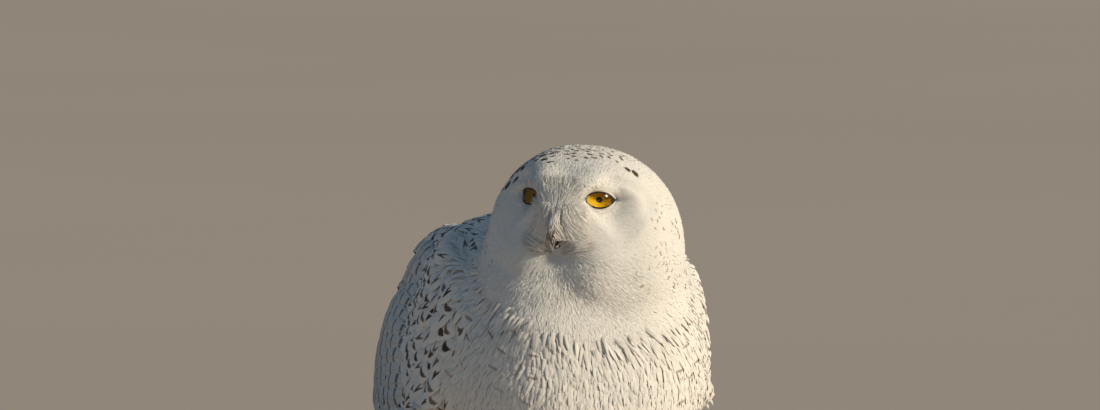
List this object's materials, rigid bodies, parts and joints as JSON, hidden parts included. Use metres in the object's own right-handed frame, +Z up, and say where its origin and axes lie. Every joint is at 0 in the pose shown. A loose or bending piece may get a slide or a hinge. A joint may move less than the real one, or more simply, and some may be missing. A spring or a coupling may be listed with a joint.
{
  "type": "snowy owl",
  "caption": "Life-size still model of a snowy owl crouched on its belly with its head turned to its right; lies on belly and feet.",
  "frame": {"origin": "on the floor under the middle of the model's box", "axes": "+Z up, +Y towards the tail, so the breast faces -Y, +X to the owl's own left"},
  "size_m": [0.221, 0.5062, 0.2517],
  "materials": {
    "plumage": "soft white contour feathers",
    "barred_plumage": "white flight and covert feathers with dark bars",
    "horn": "black horn, satin",
    "eye": "golden yellow, wet gloss"
  },
  "bodies": {
    "root": {"head": "plumage", "neck": "plumage", "trunk": "plumage", "tail": "barred_plumage", "wing_left_coverts": "barred_plumage", "wing_left_secondaries": "barred_plumage", "wing_left_primaries": "barred_plumage", "leg_left": "plumage", "foot_left": "plumage", "claw_left_inner": "horn", "claw_left_middle": "horn", "claw_left_outer": "horn", "claw_left_hind": "horn", "eye_left": "eye", "wing_right_coverts": "barred_plumage", "wing_right_secondaries": "barred_plumage", "wing_right_primaries": "barred_plumage", "leg_right": "plumage", "foot_right": "plumage", "claw_right_inner": "horn", "claw_right_middle": "horn", "claw_right_outer": "horn", "claw_right_hind": "horn", "eye_right": "eye", "bill_upper": "horn", "bill_lower": "horn"}
  },
  "joints": []
}
